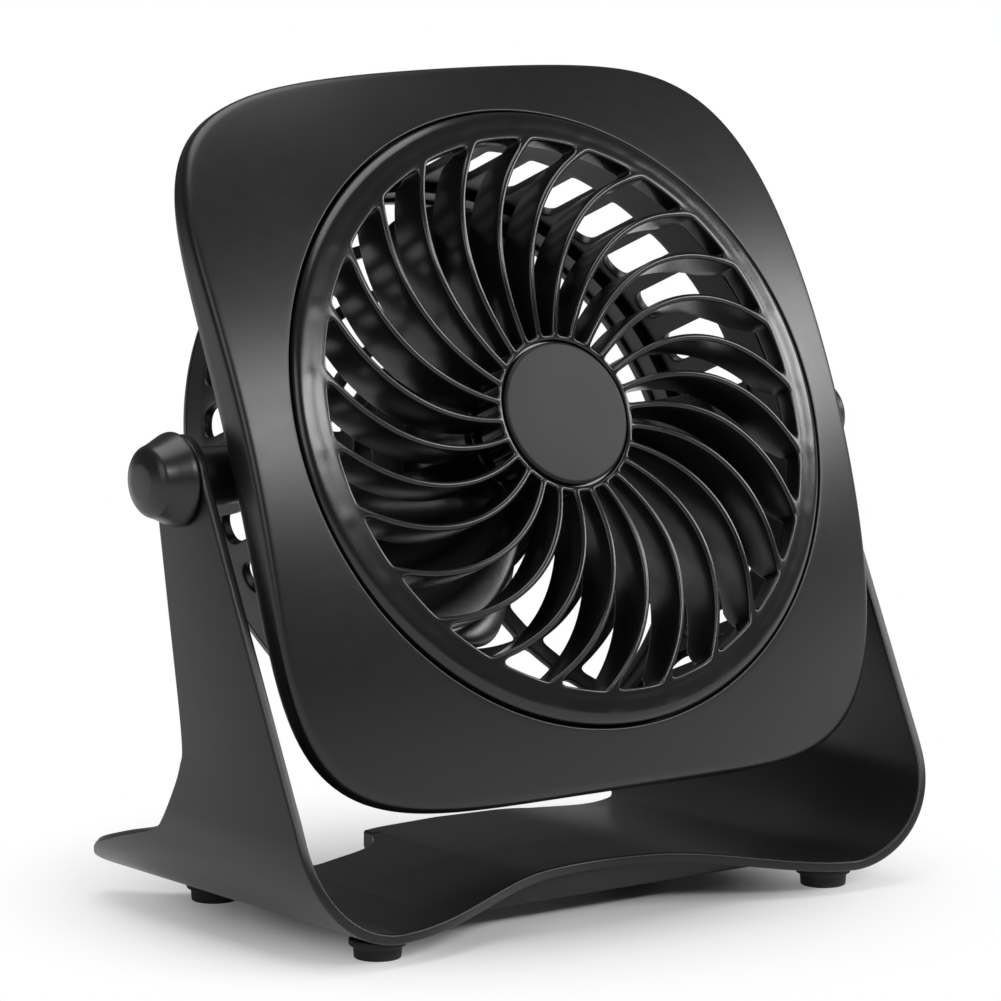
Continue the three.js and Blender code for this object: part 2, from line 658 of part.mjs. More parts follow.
// ---------------------------------------------------------------- controls behind the motor
const BUTTON_Z = 7.5;
const INLET_Z = -9;
const capHole = (sign) => placed(rod(1.2, 43, 53, 12), [sign * CAP_SCREW_X, 0, 0]);
const capHoles = join([capHole(-1), capHole(1)]);
add(shell, "circuit_board", rod(18.4, 45.5, 46.7, 36).subtract(capHoles), BOARD);
add(shell, "button_switch", block(6, 1.6, 6, [0, 47.8, BUTTON_Z]), STEEL);

const inletShell = block(7.6, 4.7, 2.9, [0, 49.35, INLET_Z]);
const inletMouth = block(6.9, 4.2, 2.2, [0, 49.9, INLET_Z]);
const inletTongue = block(5.2, 4, 0.6, [0, 49.4, INLET_Z]);
add(shell, "power_inlet", inletShell.subtract(inletMouth).add(inletTongue), STEEL);

const buttonProfile = [[0, 49.4], [5.4, 49.4], [5.4, 50.2], [4.4, 50.2], [4.4, 52.6], [3.9, 53], [0, 53]];
add(shell, "power_button", placed(turned(buttonProfile, 20), [0, 0, BUTTON_Z]), SATIN_BLACK);

const REAR_CAP_BACK = 52;
const rearCapProfile = [
  [0, 50.6], [POD_RADIUS - FIT, 50.6], [POD_RADIUS - FIT, 51.4], [18.1, REAR_CAP_BACK], [0, REAR_CAP_BACK],
];
const capLeg = (sign) => placed(rod(2.2, 47, 51, 12), [sign * CAP_SCREW_X, 0, 0]);
const rearCap = turned(rearCapProfile, 32)
  .add(join([capLeg(-1), capLeg(1)]))
  .subtract(placed(rod(4.8, 49, 53, 20), [0, 0, BUTTON_Z]))
  .subtract(block(8.6, 4, 3.9, [0, 51, INLET_Z]))
  .subtract(capHoles);
add(shell, "rear_cap", rearCap, SATIN_BLACK);
for (const [side, sign] of [["left", -1], ["right", 1]]) {
  const capScrew = placed(screw(2.1, 1.2, 0.9, 8.2), [sign * CAP_SCREW_X, REAR_CAP_BACK + FIT, 0]);
  add(shell, `cap_screw_${side}`, capScrew, STEEL);
  const place = [sign * MOTOR_SCREW_X, 27.9, 0];
  const motorScrew = placed(screw(1.3, 0.9, 0.5, 3.2), place, [Math.PI, 0, 0]);
  add(shell, `motor_screw_${side}`, motorScrew, STEEL);
}

export default fan;
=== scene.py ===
"""Desk fan: a square head with a swirl grille, tilting between the arms of a one-piece bent stand.

Sizes are in millimetres until a piece is put into its mesh, which is in metres like the frame.
"""
import math

import bmesh
import bpy
import numpy as np
from mathutils import Matrix


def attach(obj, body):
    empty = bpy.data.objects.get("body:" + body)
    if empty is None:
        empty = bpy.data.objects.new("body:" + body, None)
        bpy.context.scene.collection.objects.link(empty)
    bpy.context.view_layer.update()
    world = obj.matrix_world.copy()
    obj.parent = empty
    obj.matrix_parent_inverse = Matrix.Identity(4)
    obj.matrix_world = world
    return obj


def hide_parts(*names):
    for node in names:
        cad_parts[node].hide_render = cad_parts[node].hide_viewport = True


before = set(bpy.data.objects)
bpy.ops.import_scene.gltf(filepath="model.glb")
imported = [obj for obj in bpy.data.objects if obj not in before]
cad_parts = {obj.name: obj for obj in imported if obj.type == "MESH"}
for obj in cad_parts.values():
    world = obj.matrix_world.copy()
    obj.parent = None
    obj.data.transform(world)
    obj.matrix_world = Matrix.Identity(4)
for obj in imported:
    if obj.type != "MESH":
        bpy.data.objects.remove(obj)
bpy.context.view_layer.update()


# ---------------------------------------------------------------- stand
# One strip of black ABS, bent up into two arms over an arched base, with flared rear feet.
# It is moulded in one shot with a satin tool finish. A straight rib stiffens the arch from below
# and the left rear edge has a notch with a small lug for the lead.
ARM_OUTER = 72.6
SHEET = 2.0
BEND = 20.0
BEND_X = ARM_OUTER - BEND
FLOOR_GAP = 4.0
BEND_TOP = FLOOR_GAP + BEND
PIVOT = np.array([0.0, -1.0, 84.7])
ARM_END = 8.0


def grid_faces(rows, columns, around=True):
    """Quads between neighbouring points of a grid; each row closes on itself when around is true."""
    row, column = np.meshgrid(np.arange(rows - 1), np.arange(columns if around else columns - 1), indexing="ij")
    beside = (column + 1) % columns
    quads = [row * columns + column, row * columns + beside, (row + 1) * columns + beside, (row + 1) * columns + column]
    return np.stack(quads, axis=-1).reshape(-1, 4)


def capped(rings):
    """Rings of points (rows, columns, 3), closed at both ends by a row that is the end ring's middle point."""
    ends = [np.broadcast_to(ring.mean(axis=0), ring.shape)[None] for ring in (rings[0], rings[-1])]
    return np.concatenate([ends[0], rings, ends[1]])


def make(name, patches, body, nodes, finish, sharp=38, weld=1e-6):
    """One object from grids of points in millimetres: shared points are welded and faces are turned outwards."""
    form = bmesh.new()
    for rings in patches:
        rows, columns, _ = rings.shape
        sheet = bpy.data.meshes.new(name)
        sheet.from_pydata(rings.reshape(-1, 3) * 0.001, [], grid_faces(rows, columns))
        form.from_mesh(sheet)
        bpy.data.meshes.remove(sheet)
    bmesh.ops.remove_doubles(form, verts=form.verts, dist=weld)
    bmesh.ops.recalc_face_normals(form, faces=form.faces)
    mesh = bpy.data.meshes.new(name)
    form.to_mesh(mesh)
    form.free()
    mesh.polygons.foreach_set("use_smooth", np.ones(len(mesh.polygons), dtype=bool))
    mesh.set_sharp_from_angle(angle=math.radians(sharp))
    mesh.materials.append(finish)
    piece = bpy.data.objects.new(name, mesh)
    bpy.context.scene.collection.objects.link(piece)
    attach(piece, body)
    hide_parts(*nodes)
    return piece


def rounded_bar(corners, radius, steps=5):
    """Bar with a four-sided section at each station (stations, 4, 3): each corner is a parabola that
    starts and ends at radius from it, or at half the side where the side is shorter."""
    ahead = np.roll(corners, -1, axis=1) - corners
    behind = np.roll(corners, 1, axis=1) - corners
    share = np.linspace(0, 1, steps)[None, None, :, None]
    reach = [side * np.minimum(0.5, radius / np.maximum(np.linalg.norm(side, axis=2, keepdims=True), 1e-6))
             for side in (behind, ahead)]
    start, end = [(corners + step)[:, :, None] for step in reach]
    middle = corners[:, :, None]
    bent = (1 - share) ** 2 * start + 2 * share * (1 - share) * middle + share**2 * end
    return bent.reshape(len(corners), -1, 3)


class Wire:
    """An output socket of a material's nodes. Sums on wires add Math nodes."""

    def __init__(self, tree, socket):
        self.tree = tree
        self.socket = socket

    def node(self, kind, settings, sockets, output=0):
        """A new node: its settings first, then the values or wires of its sockets."""
        made = self.tree.nodes.new(kind)
        for key, value in settings.items():
            if key == "stops":
                for stop, (place, shade) in zip(made.color_ramp.elements, value):
                    stop.position = place
                    stop.color = (shade, shade, shade, 1)
            else:
                setattr(made, key, value)
        for key, value in sockets.items():
            if isinstance(value, Wire):
                self.tree.links.new(value.socket, made.inputs[key])
            else:
                made.inputs[key].default_value = value
        return Wire(self.tree, made.outputs[output])

    def maths(self, operation, first, second):
        return self.node("ShaderNodeMath", {"operation": operation}, {0: first, 1: second})

    def __add__(self, other):
        return self.maths("ADD", self, other)

    def __sub__(self, other):
        return self.maths("SUBTRACT", self, other)

    def __rsub__(self, other):
        return self.maths("SUBTRACT", other, self)

    def __mul__(self, other):
        return self.maths("MULTIPLY", self, other)

    __radd__ = __add__
    __rmul__ = __mul__

    def noise(self, scale, detail=2.0):
        """Noise of a scale per metre, about 0.5 in the middle."""
        return self.node("ShaderNodeTexNoise", {}, {"Vector": self, "Scale": scale, "Detail": detail})

    def between(self, dark, pale):
        """Colour from dark to pale as this wire goes from 0 to 1."""
        return self.node("ShaderNodeMix", {"data_type": "RGBA"}, {0: self, 6: (*dark, 1), 7: (*pale, 1)}, 2)

    def bump(self, depth, strength=1.0):
        """Normal pushed by this wire as a height, depth metres at 1."""
        return self.node("ShaderNodeBump", {}, {"Height": self, "Distance": depth, "Strength": strength})


def new_finish(name, fixed, varying):
    """Principled material: fixed are its constant sockets; varying turns a position into the others."""
    material = bpy.data.materials.new(name)
    material.use_nodes = True
    tree = material.node_tree
    shader = tree.nodes["Principled BSDF"]
    for socket, value in fixed.items():
        shader.inputs[socket].default_value = value
    place = Wire(tree, tree.nodes.new("ShaderNodeTexCoord").outputs["Object"])
    for socket, wire in varying(place).items():
        tree.links.new(wire.socket, shader.inputs[socket])
    return material


def tool_satin(dark, pale, rough, grain_depth):
    """Black ABS off a lightly blasted tool: fine even grain, slow drift of shade and of sheen."""

    def varying(place):
        grain = place.noise(5200, 3)
        drift = place.noise(38)
        rubbed = place.noise(410, 4)
        return {
            "Base Color": drift.between(dark, pale),
            "Roughness": rough + 0.07 * (drift - 0.5) + 0.06 * (rubbed - 0.5),
            "Normal": (grain + 0.25 * rubbed).bump(grain_depth),
        }

    return varying


stand_satin = new_finish(
    "stand_satin_abs",
    {"Specular IOR Level": 0.36},
    tool_satin((0.0048, 0.0048, 0.0053), (0.0068, 0.0068, 0.0073), 0.36, 0.000012),
)

REAR_OUTLINE = np.array([
    [-60.7, 7], [-38, 2.9], [-14, -1.3], [-8, -0.7], [-2, 2.3], [2.8, 5.7], [5.4, 9.6], [9.2, 22.4],
    [13.6, 34.5], [16.8, 39.2], [20.6, 42.8], [24.4, 41.4], [29.4, 35.4], [35.3, 31.2], [48.5, 24.1],
    [60.5, 19.3], [67, 19], [85, 20.4],
])


def smooth_line(points, steps=24):
    """Catmull-Rom curve: cubic pieces through the points, with each slope from the point before to the one after."""
    padded = np.concatenate([points[:1], points, points[-1:]])
    before, here, after, beyond = padded[:-3], padded[1:-2], padded[2:-1], padded[3:]
    t = np.linspace(0, 1, steps, endpoint=False)[None, :, None]
    before, here, after, beyond = [p[:, None] for p in (before, here, after, beyond)]
    slope_in, slope_out = (after - before) / 2, (beyond - here) / 2
    bent = (2 * t**3 - 3 * t**2 + 1) * here + (t**3 - 2 * t**2 + t) * slope_in
    bent = bent + (3 * t**2 - 2 * t**3) * after + (t**3 - t**2) * slope_out
    return np.concatenate([bent.reshape(-1, points.shape[1]), points[-1:]])


def parabola(start, corner, end, steps=12):
    """Quadratic curve from start to end that heads for the corner at both ends."""
    t = np.linspace(0, 1, steps)[:, None]
    return (1 - t) ** 2 * np.array(start) + 2 * t * (1 - t) * np.array(corner) + t**2 * np.array(end)


NOTCH = np.concatenate([
    parabola((-15.2, 24), (-17, 17), (-20.5, 12)),
    parabola((-20.5, 12), (-23, 8.2), (-28, 8)),
    parabola((-35, 8), (-40, 8.4), (-41, 15)),
    [(-42, 40)],
])[::-1]
rear_line = smooth_line(REAR_OUTLINE)


def rear_edge(run):
    """Rear edge by the distance run down the outside of the strip from the top of the bend."""
    return np.interp(run, rear_line[:, 0], rear_line[:, 1])


def arm_front(z):
    """Front edge of an arm: a parabola up from the foot, then a straight slope."""
    return -43.1 + 0.0102 * (np.minimum(z, 30) - FLOOR_GAP) ** 2 + 0.49 * np.maximum(z - 30, 0)


def underside(x):
    """The arch falls from its level crown to the bends on a smooth step."""
    fall = np.clip((np.abs(x) - 12) / 42.6, 0, 1)
    return FLOOR_GAP + 4.5 * (1 - fall * fall * (3 - 2 * fall))


def stand_half():
    """Stations from an arm's end to its bend, for the left side: outer x, z, inner x, z, front, rear."""
    turn = np.radians(np.linspace(90, 12, 12))
    z = PIVOT[2] + ARM_END * np.sin(turn)
    half = ARM_END * np.cos(turn)
    flat = np.full_like(z, -ARM_OUTER)
    end = np.stack([flat, z, flat + SHEET, z, PIVOT[1] - half, PIVOT[1] + half], axis=1)
    z = np.linspace(84.2, BEND_TOP + 0.5, 60)
    flat = np.full_like(z, -ARM_OUTER)
    arm = np.stack([flat, z, flat + SHEET, z, arm_front(z), rear_edge(BEND_TOP - z)], axis=1)
    turn = np.linspace(0, math.pi / 2, 40)
    across, down = np.cos(turn), np.sin(turn)
    z = BEND_TOP - BEND * down
    inner = BEND - SHEET
    bend = np.stack(
        [-BEND_X - BEND * across, z, -BEND_X - inner * across, BEND_TOP - inner * down, arm_front(z),
         rear_edge(BEND * turn)], axis=1)
    return np.concatenate([end, arm, bend])


def stand_stations():
    """The whole strip: left arm and bend, arched base with its notch, right bend and arm."""
    left = stand_half()
    right = left[::-1] * np.array([-1, 1, -1, 1, 1, 1])
    x = np.unique(np.concatenate([np.linspace(-BEND_X + 0.7, BEND_X - 0.7, 150), NOTCH[1:-1, 0], [-41.5, -41.25]]))
    x = x[np.concatenate([[True], np.diff(x) > 0.05])]
    z = underside(x)
    front = -43.1 + 13 * (0.5 + 0.5 * np.cos(math.pi * x / BEND_X))
    rear = rear_edge(BEND * math.pi / 2 + BEND_X - np.abs(x))
    rear = np.minimum(rear, np.interp(x, NOTCH[:, 0], NOTCH[:, 1], left=99, right=99))
    base = np.stack([x, z, x, z + SHEET, front, rear], axis=1)
    return np.concatenate([left, base, right])


stations = stand_stations()
out_x, out_z, in_x, in_z, front_y, rear_y = stations.T
strip = np.stack([
    np.stack([out_x, front_y, out_z], axis=1), np.stack([out_x, rear_y, out_z], axis=1),
    np.stack([in_x, rear_y, in_z], axis=1), np.stack([in_x, front_y, in_z], axis=1),
], axis=1)
rib_x = np.linspace(-48, 48, 65)
rib_top = underside(rib_x) + 1
rib = np.stack([
    np.stack([rib_x, np.full_like(rib_x, y), z], axis=1)
    for y, z in ((-28.5, FLOOR_GAP + 0 * rib_x), (-26.5, FLOOR_GAP + 0 * rib_x), (-26.5, rib_top), (-28.5, rib_top))
], axis=1)
lug_y = np.array([14.6, 15.1, 18.1, 18.6])
lug_in = np.array([0.5, 0, 0, 0.5])
lug = np.stack([
    np.stack([-16.2 + sx * (2.2 - lug_in), lug_y, 8.6 + sz * (1.8 - lug_in)], axis=1)
    for sx, sz in ((-1, -1), (1, -1), (1, 1), (-1, 1))
], axis=1)
make(
    "stand_strip",
    [capped(rounded_bar(strip, 0.6)), capped(rounded_bar(rib, 0.4)), capped(rounded_bar(lug, 0.6))],
    "stand", ["stand_bracket"], stand_satin,
)


# ---------------------------------------------------------------- feet
# Four stepped buttons of black rubber. A stud on each is pushed up into a blind hole in the base.
def eased(profile, radius, steps=5):
    """Line of points with every inner corner turned into a parabola that starts radius away from it."""
    points = np.array(profile, dtype=float)
    corner = points[1:-1]
    sides = [points[:-2] - corner, points[2:] - corner]
    start, end = [
        (corner + s * np.minimum(0.45, radius / np.maximum(np.linalg.norm(s, axis=1, keepdims=True), 1e-9)))[:, None]
        for s in sides
    ]
    t = np.linspace(0, 1, steps)[None, :, None]
    bent = (1 - t) ** 2 * start + 2 * t * (1 - t) * corner[:, None] + t**2 * end
    return np.concatenate([points[:1], bent.reshape(-1, 2), points[-1:]])


def turned(profile, centre, axis, around=96):
    """Surface of revolution: each (radius, height) pair becomes a circle about the axis through the centre."""
    axis = np.array(axis, dtype=float)
    side = np.cross(axis, (0.31, 0.52, 0.8))
    side = side / np.linalg.norm(side)
    other = np.cross(axis, side)
    turn = np.linspace(0, 2 * math.pi, around, endpoint=False)[None, :, None]
    radius, height = profile[:, 0][:, None, None], profile[:, 1][:, None, None]
    return np.array(centre) + height * axis + radius * (np.cos(turn) * side + np.sin(turn) * other)


def rubbed_rubber(place):
    """Matt rubber: dusty bloom in slow patches over a coarse soft grain."""
    bloom = place.noise(160, 4)
    grain = place.noise(2600, 3)
    return {
        "Base Color": bloom.between((0.011, 0.011, 0.011), (0.024, 0.024, 0.024)),
        "Roughness": 0.66 + 0.2 * bloom,
        "Normal": grain.bump(0.00003),
    }


foot_rubber = new_finish("foot_rubber", {"Specular IOR Level": 0.35}, rubbed_rubber)
FOOT = [(0, 0), (4.3, 0), (4.45, 2.2), (5.25, 2.4), (5.25, 3.6), (2.2, 3.6), (2.2, 4.8), (0, 4.8)]
FEET = (("front_left", -52, -34), ("front_right", 52, -34), ("rear_left", -49, 23.5), ("rear_right", 49, 23.5))
for name, x, y in FEET:
    button = turned(eased(FOOT, 0.35), (x, y, 0), (0, 0, 1), 72)
    make(f"rubber_foot_{name}", [button], "stand", [f"foot_{name}"], foot_rubber)


# ---------------------------------------------------------------- tilt knobs
# A broad-based moulded knob each side, domed on top, turned down on a steel bolt by hand.
# The bolt runs through the arm and a slippery washer into a brass insert in the head.
KNOB = [
    (2.3, 5.4), (2.3, 0), (8.25, 0), (8.7, 0.3), (8.55, 1.1), (7.2, 3.9), (6.75, 5.0), (6.45, 5.9), (5.5, 6.75),
    (3.4, 7.45), (0, 7.7),
]
knob_satin = new_finish(
    "knob_satin_abs",
    {"Specular IOR Level": 0.5},
    tool_satin((0.0053, 0.0053, 0.0058), (0.0073, 0.0073, 0.0077), 0.33, 0.000010),
)
for side, sign in (("left", -1), ("right", 1)):
    profile = np.concatenate([[(0, 5.4)], eased(KNOB, 0.5)])
    cap = turned(profile, PIVOT + (sign * (ARM_OUTER + 0.3), 0, 0), (sign, 0, 0), 144)
    make(f"knob_cap_{side}", [cap], f"knob_{side}", [f"tilt_knob_{side}"], knob_satin)


def plated(place):
    """Zinc plate over steel: faint turning lines and clouding."""
    cloud = place.noise(900, 3)
    lines = place.node(
        "ShaderNodeTexWave", {"bands_direction": "Y"}, {"Vector": place, "Scale": 2600.0, "Distortion": 3.0})
    return {
        "Base Color": cloud.between((0.36, 0.37, 0.38), (0.50, 0.50, 0.51)),
        "Roughness": 0.28 + 0.16 * cloud,
        "Normal": lines.bump(0.000006),
    }


def turned_brass(place):
    """Machined brass with fine tool marks and a little tarnish."""
    tarnish = place.noise(700, 3)
    marks = place.node(
        "ShaderNodeTexWave", {"bands_direction": "X"}, {"Vector": place, "Scale": 3200.0, "Distortion": 1.0})
    return {
        "Base Color": tarnish.between((0.36, 0.22, 0.07), (0.50, 0.33, 0.12)),
        "Roughness": 0.25 + 0.2 * tarnish,
        "Normal": marks.bump(0.000005),
    }


def slick_nylon(place):
    """Black nylon, slightly waxy, with a cloudy sheen."""
    cloud = place.noise(520, 3)
    return {
        "Base Color": cloud.between((0.016, 0.016, 0.017), (0.026, 0.026, 0.027)),
        "Roughness": 0.38 + 0.12 * cloud,
        "Normal": cloud.bump(0.00001),
    }


def dress(nodes, finish):
    """Gives a finish to CAD nodes that stay as they are."""
    for node in nodes:
        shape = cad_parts[node]
        if not shape.material_slots:
            shape.data.materials.append(finish)
        for holder in shape.material_slots:
            holder.material = finish


zinc_plate = new_finish("zinc_plated_steel", {"Metallic": 1.0}, plated)
brass = new_finish("machined_brass", {"Metallic": 1.0}, turned_brass)
black_nylon = new_finish("black_nylon", {"Specular IOR Level": 0.5}, slick_nylon)
dress(["pivot_bolt_left", "pivot_bolt_right"], zinc_plate)
dress(["pivot_insert_left", "pivot_insert_right"], brass)
dress(["friction_washer_left", "friction_washer_right"], black_nylon)


# ---------------------------------------------------------------- front bezel
# Domed rounded-square front of the head, 1.6 mm satin ABS with a rim all round and a collar
# behind its round opening. Four posts behind the corners take the screws of the rear cover; this shell leaves them out.
TILT = math.radians(21.645)
HALF_WIDE, HALF_HIGH, SQUARENESS = 68.24, 69.4, 5.1
BEZEL_WALL = 1.6
OPENING = 59.2


def in_head(points):
    """Head's own frame (x right, y back along the fan's axis, z up the head) to the row frame: moved to the
    pivot, then leaned back by the tilt."""
    x, back, up = points[..., 0], points[..., 1] - 29.8, points[..., 2] + 0.5
    y = PIVOT[1] + back * math.cos(TILT) + up * math.sin(TILT)
    z = PIVOT[2] - back * math.sin(TILT) + up * math.cos(TILT)
    return np.stack([x, y, z], axis=-1)


def dome(x, z):
    """Depth of the domed front, a shallow paraboloid."""
    return 0.0025 * x**2 + 0.0028 * z**2


def rim_depth(x, z):
    return 11.4 + 0.00153 * (x**2 + z**2)


def square_outline(turn, inset):
    """Superellipse: |x/a|^n + |z/b|^n = 1, drawn in by inset, as x and z by angle."""
    across, up = np.cos(turn), np.sin(turn)
    wide, high = HALF_WIDE - inset, HALF_HIGH - inset
    reach = (np.abs(across / wide) ** SQUARENESS + np.abs(up / high) ** SQUARENESS) ** (-1 / SQUARENESS)
    return np.stack([reach * across, reach * up], axis=1)


def bezel_rings(around=320):
    """Section at each angle, from the collar's back over the opening's lip, the face, the outer edge and the rim,
    then back inside the wall."""
    turn = np.linspace(0, 2 * math.pi, around, endpoint=False)
    circle = np.stack([np.cos(turn), np.sin(turn)], axis=1)

    def at(flat, depth):
        return np.stack([flat[:, 0], depth + 0 * flat[:, 0], flat[:, 1]], axis=1)

    def faced(flat, deeper=0.0):
        return at(flat, dome(flat[:, 0], flat[:, 1]) + deeper)

    collar, shoulder = circle * (OPENING + 1.4), square_outline(turn, 1.3)
    edge, inside = square_outline(turn, 0), square_outline(turn, BEZEL_WALL)
    back = rim_depth(edge[:, 0], edge[:, 1])
    rings = [at(collar, 13.0), at(circle * OPENING, 13.0), faced(circle * OPENING, 0.9)]
    for bend in np.linspace(0.15, 1, 6) * math.pi / 2:
        rings.append(faced(circle * (OPENING + 0.45 * (1 - math.cos(bend))), 0.45 * (1 - math.sin(bend))))
    lip = circle * (OPENING + 0.45)
    for share in np.linspace(0, 1, 18)[1:]:
        rings.append(faced(lip + (shoulder - lip) * share))
    for share in np.linspace(0, 1, 9)[1:]:
        flat = shoulder + (edge - shoulder) * (1 - (1 - share) ** 2)
        rings.append(faced(flat, 1.3 * share**2))
    for share in (0.35, 0.7):
        start = dome(edge[:, 0], edge[:, 1]) + 1.3
        rings.append(at(edge, start + (back - 0.3 - start) * share))
    rings += [at(edge, back - 0.3), at(square_outline(turn, 0.1), back - 0.08), at(square_outline(turn, 0.35), back)]
    rings += [at(inside, back), faced(inside, BEZEL_WALL), faced(collar, BEZEL_WALL), at(collar, 13.0)]
    return in_head(np.stack(rings))


bezel_satin = new_finish(
    "bezel_satin_abs",
    {"Specular IOR Level": 0.5},
    tool_satin((0.0048, 0.0048, 0.0053), (0.0063, 0.0063, 0.0068), 0.31, 0.000010),
)
make("bezel_front", [bezel_rings()], "head", ["front_bezel"], bezel_satin)


# ---------------------------------------------------------------- front grille
# One moulding in glossier black: a hub, 26 swept vanes with rounded front edges, and a ring that
# clips into the bezel. The ring's face sinks a little and swells where each vane runs into it.
VANES = 26
PITCH = 2 * math.pi / VANES
HALF_VANE = 0.65
HUB_EDGE, RING_EDGE = 15.1, 52.7
HUB_SEAM, RING_SEAM = 14.55, 53.9
VANE_BACK, RING_BACK, RING_OUT = 15.0, 11.0, 58.7


def vane_turn(radius):
    """Angle of a vane's middle line, clockwise from its root as seen from the front: a power of the radius."""
    return np.radians(6.44 + 0.0628 * np.maximum(radius - 16, 0) ** 1.68)


def vane_face(x, z):
    """Depth of the grille's front: a parabola by radius, with a shallow valley round the ring and a swelling
    at each vane's end."""
    radius = np.hypot(x, z)
    off = (np.arctan2(x, z) - vane_turn(RING_EDGE) + math.radians(0.9) + PITCH / 2) % PITCH - PITCH / 2
    valley = 0.05 * np.exp(-(((radius - 54.9) / 0.95) ** 2))
    swelling = 0.07 * np.exp(-(((radius - 55.6) / 1.25) ** 2) - ((off * radius / 1.5) ** 2))
    return 5.1 + 0.0058 * (radius - 36) ** 2 + valley - swelling


def polar(radius, turn):
    """Point by radius and angle clockwise from the top."""
    return np.stack([radius * np.sin(turn), radius * np.cos(turn)], axis=-1)


def ease_corners(loop, corners):
    """Closed loop with each sharp corner (index, points before, points after) turned into a parabola."""
    bent = loop.copy()
    for index, before, after in corners:
        which = np.arange(index - before, index + after + 1) % len(loop)
        bent[which] = parabola(loop[which[0]], loop[index % len(loop)], loop[which[-1]], len(which))
    return bent


def window(border, opening, front, back, lip, back_lip, steps=6):
    """Wall with one hole. Each pair of points of the border and of the opening carries a section: in from
    the border, over a quarter-round lip, down the hole and back to the border behind. front and back give the
    place of flat points at a depth below either face."""
    gap = border - opening
    length = np.linalg.norm(gap, axis=1, keepdims=True)
    rows = [front(border, 0.0)]
    bends = np.linspace(0, math.pi / 2, steps)
    for bend in bends:
        reach = np.minimum(lip, length) * (1 - math.sin(bend)) / length
        rows.append(front(opening + gap * reach, lip * (1 - math.cos(bend))))
    rows.append((front(opening, lip) + back(opening, back_lip)) / 2)
    for bend in bends[::-1]:
        reach = np.minimum(back_lip, length) * (1 - math.sin(bend)) / length
        rows.append(back(opening + gap * reach, back_lip * (1 - math.cos(bend))))
    rows.append(back(border, 0.0))
    return np.stack(rows)


def wrap_near(turn, others):
    """Whole turns that bring an angle near the others."""
    return 2 * math.pi * np.round((np.mean(others) - turn) / (2 * math.pi))


def grille_window(index):
    """The opening between two vanes with half of each vane, of the hub and of the ring round it."""
    seam = np.concatenate([[HUB_SEAM, 15.25], np.linspace(16.2, 50.9, 36), [51.9, 52.85, 53.4, RING_SEAM]])
    mid_turn = vane_turn(seam) + index * PITCH
    lean = np.arctan(seam * np.gradient(mid_turn, seam))
    aside = np.stack([np.cos(mid_turn + lean), -np.sin(mid_turn + lean)], axis=1) * HALF_VANE
    middle = polar(seam, mid_turn)
    onward = np.array([[math.cos(PITCH), -math.sin(PITCH)], [math.sin(PITCH), math.cos(PITCH)]])
    side_a, side_b = middle + aside, (middle - aside) @ onward

    def corner(side, radius):
        """Where a vane's side meets a circle."""
        reach = np.hypot(side[:, 0], side[:, 1])
        turn = np.unwrap(np.arctan2(side[:, 0], side[:, 1]))
        return radius, float(np.interp(radius, reach, turn))

    hub_a, ring_a = corner(side_a, HUB_EDGE), corner(side_a, RING_EDGE)
    hub_b, ring_b = corner(side_b, HUB_EDGE), corner(side_b, RING_EDGE)
    side_a[0], side_a[-1], side_b[0], side_b[-1] = [polar(*c) for c in (hub_a, ring_a, hub_b, ring_b)]
    ring_turn = mid_turn[-1] + PITCH * np.arange(1, 14) / 14
    hub_turn = mid_turn[0] + PITCH * np.arange(3, 0, -1) / 4
    low = ring_a[1] + wrap_near(ring_a[1], ring_turn)
    high = ring_b[1] + wrap_near(ring_b[1], ring_turn)
    inner_turn = low + (high - low) * np.arange(1, 14) / 14
    border = np.concatenate([middle, polar(RING_SEAM, ring_turn), (middle @ onward)[::-1], polar(HUB_SEAM, hub_turn)])
    sharp = np.concatenate([side_a, polar(RING_EDGE, inner_turn), side_b[::-1], polar(HUB_EDGE, hub_turn)])
    count = len(seam)
    opening = ease_corners(sharp, [(0, 1, 2), (count - 1, 2, 2), (count + 13, 3, 5), (2 * count + 12, 2, 1)])
    slope_at, slope_back = [50.9, 51.9, 52.85, 53.4, RING_SEAM], [VANE_BACK, 14, 12.5, 11.6, RING_BACK]
    behind = np.interp(np.hypot(*border.T), slope_at, slope_back)

    def front(flat, depth):
        return in_head(np.stack([flat[:, 0], vane_face(*flat.T) + depth, flat[:, 1]], axis=1))

    def back(flat, depth):
        return in_head(np.stack([flat[:, 0], behind - depth, flat[:, 1]], axis=1))

    return window(border, opening, front, back, HALF_VANE, 0.25)


def round_rows(turns, rows):
    """Rings about the fan's axis: each row is (radius, depth), or (radius, None) for a point on the grille's face
    plus a drop."""
    rings = []
    for radius, depth, on_face in rows:
        flat = polar(radius + 0 * turns, turns)
        deep = depth + (vane_face(*flat.T) if on_face else 0 * turns)
        rings.append(np.stack([flat[:, 0], deep, flat[:, 1]], axis=1))
    return in_head(np.stack(rings))


ring_turns = float(vane_turn(RING_SEAM)) + PITCH * np.arange(VANES * 14) / 14
hub_turns = float(vane_turn(HUB_SEAM)) + PITCH * np.arange(VANES * 4) / 4
ring_rows = [(r, 0.0, True) for r in np.linspace(RING_SEAM, 57.0, 14)]
ring_rows += [(57.0 + 1.7 * math.sin(b), 1.2 * (1 - math.cos(b)), True) for b in np.linspace(0, math.pi / 2, 9)[1:]]
ring_rows += [(RING_OUT, 13.6, False), (57.2, 13.6, False), (57.2, RING_BACK, False), (RING_SEAM, RING_BACK, False)]
hub_rows = [(HUB_SEAM, 0.0, True), (14.35, 0.02, True), (14.15, 0.1, True), (14.05, 0.25, True), (14.0, 8.9, False)]
hub_rows += [(0.0, 8.9, False)]
hub_back = [(0.0, 10.9, False), (13.5, 10.9, False), (13.5, 14.8, False)]
hub_back += [(13.7, VANE_BACK, False), (HUB_SEAM, VANE_BACK, False)]


